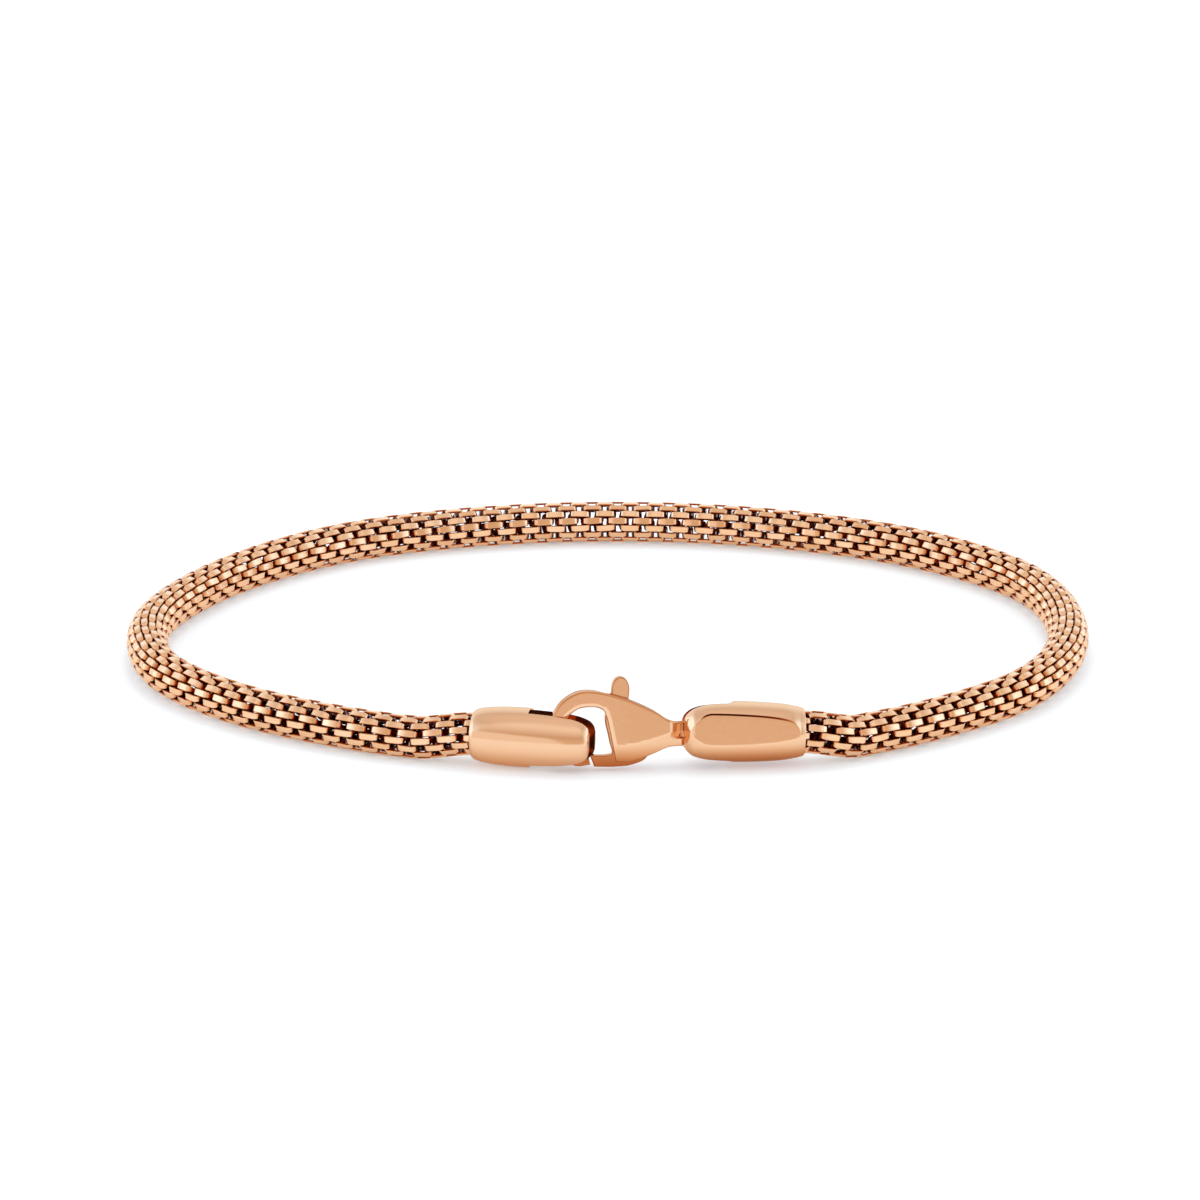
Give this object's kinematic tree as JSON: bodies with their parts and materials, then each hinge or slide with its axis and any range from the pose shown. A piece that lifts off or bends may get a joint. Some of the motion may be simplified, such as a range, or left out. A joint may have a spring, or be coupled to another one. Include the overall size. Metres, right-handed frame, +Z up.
{
  "type": "mesh bracelet",
  "caption": "Round woven mesh bracelet in polished rose gold, a hollow tube of fine flat links between two domed end caps, closed by a lobster clasp.",
  "frame": {"origin": "on the floor, below the middle of the bracelet's box", "axes": "+Z up, +X from the catch cap to the clasp cap, the clasp at -Y"},
  "size_m": [0.0692, 0.0579, 0.0065],
  "materials": {
    "polished_rose_gold": "mirror polished rose gold",
    "woven_rose_gold": "flat rose gold wire, drawn and lightly polished",
    "pin_rose_gold": "satin rose gold"
  },
  "bodies": {
    "root": {"mesh_tube": "woven_rose_gold", "catch_cap": "polished_rose_gold", "catch_pin": "pin_rose_gold", "clasp_cap": "polished_rose_gold", "clasp_pin": "pin_rose_gold"},
    "clasp": {"clasp_body": "polished_rose_gold", "lever_rivet": "pin_rose_gold"},
    "lever": {"clasp_lever": "polished_rose_gold"}
  },
  "joints": [
    {"name": "clasp_swing", "type": "hinge", "parent": "root", "child": "clasp", "pos_m": [0.0068, -0.02625, 0.0025], "axis": [-0.0858, 0.9811, -0.1737], "range_deg": [-6, 1]},
    {"name": "lever_turn", "type": "hinge", "parent": "clasp", "child": "lever", "pos_m": [0.00221, -0.02661, 0.00274], "axis": [-0.0858, 0.9811, -0.1737], "range_deg": [0, 18], "stiffness_Nm_per_rad": 0.0005, "springref_deg": -5.73}
  ]
}
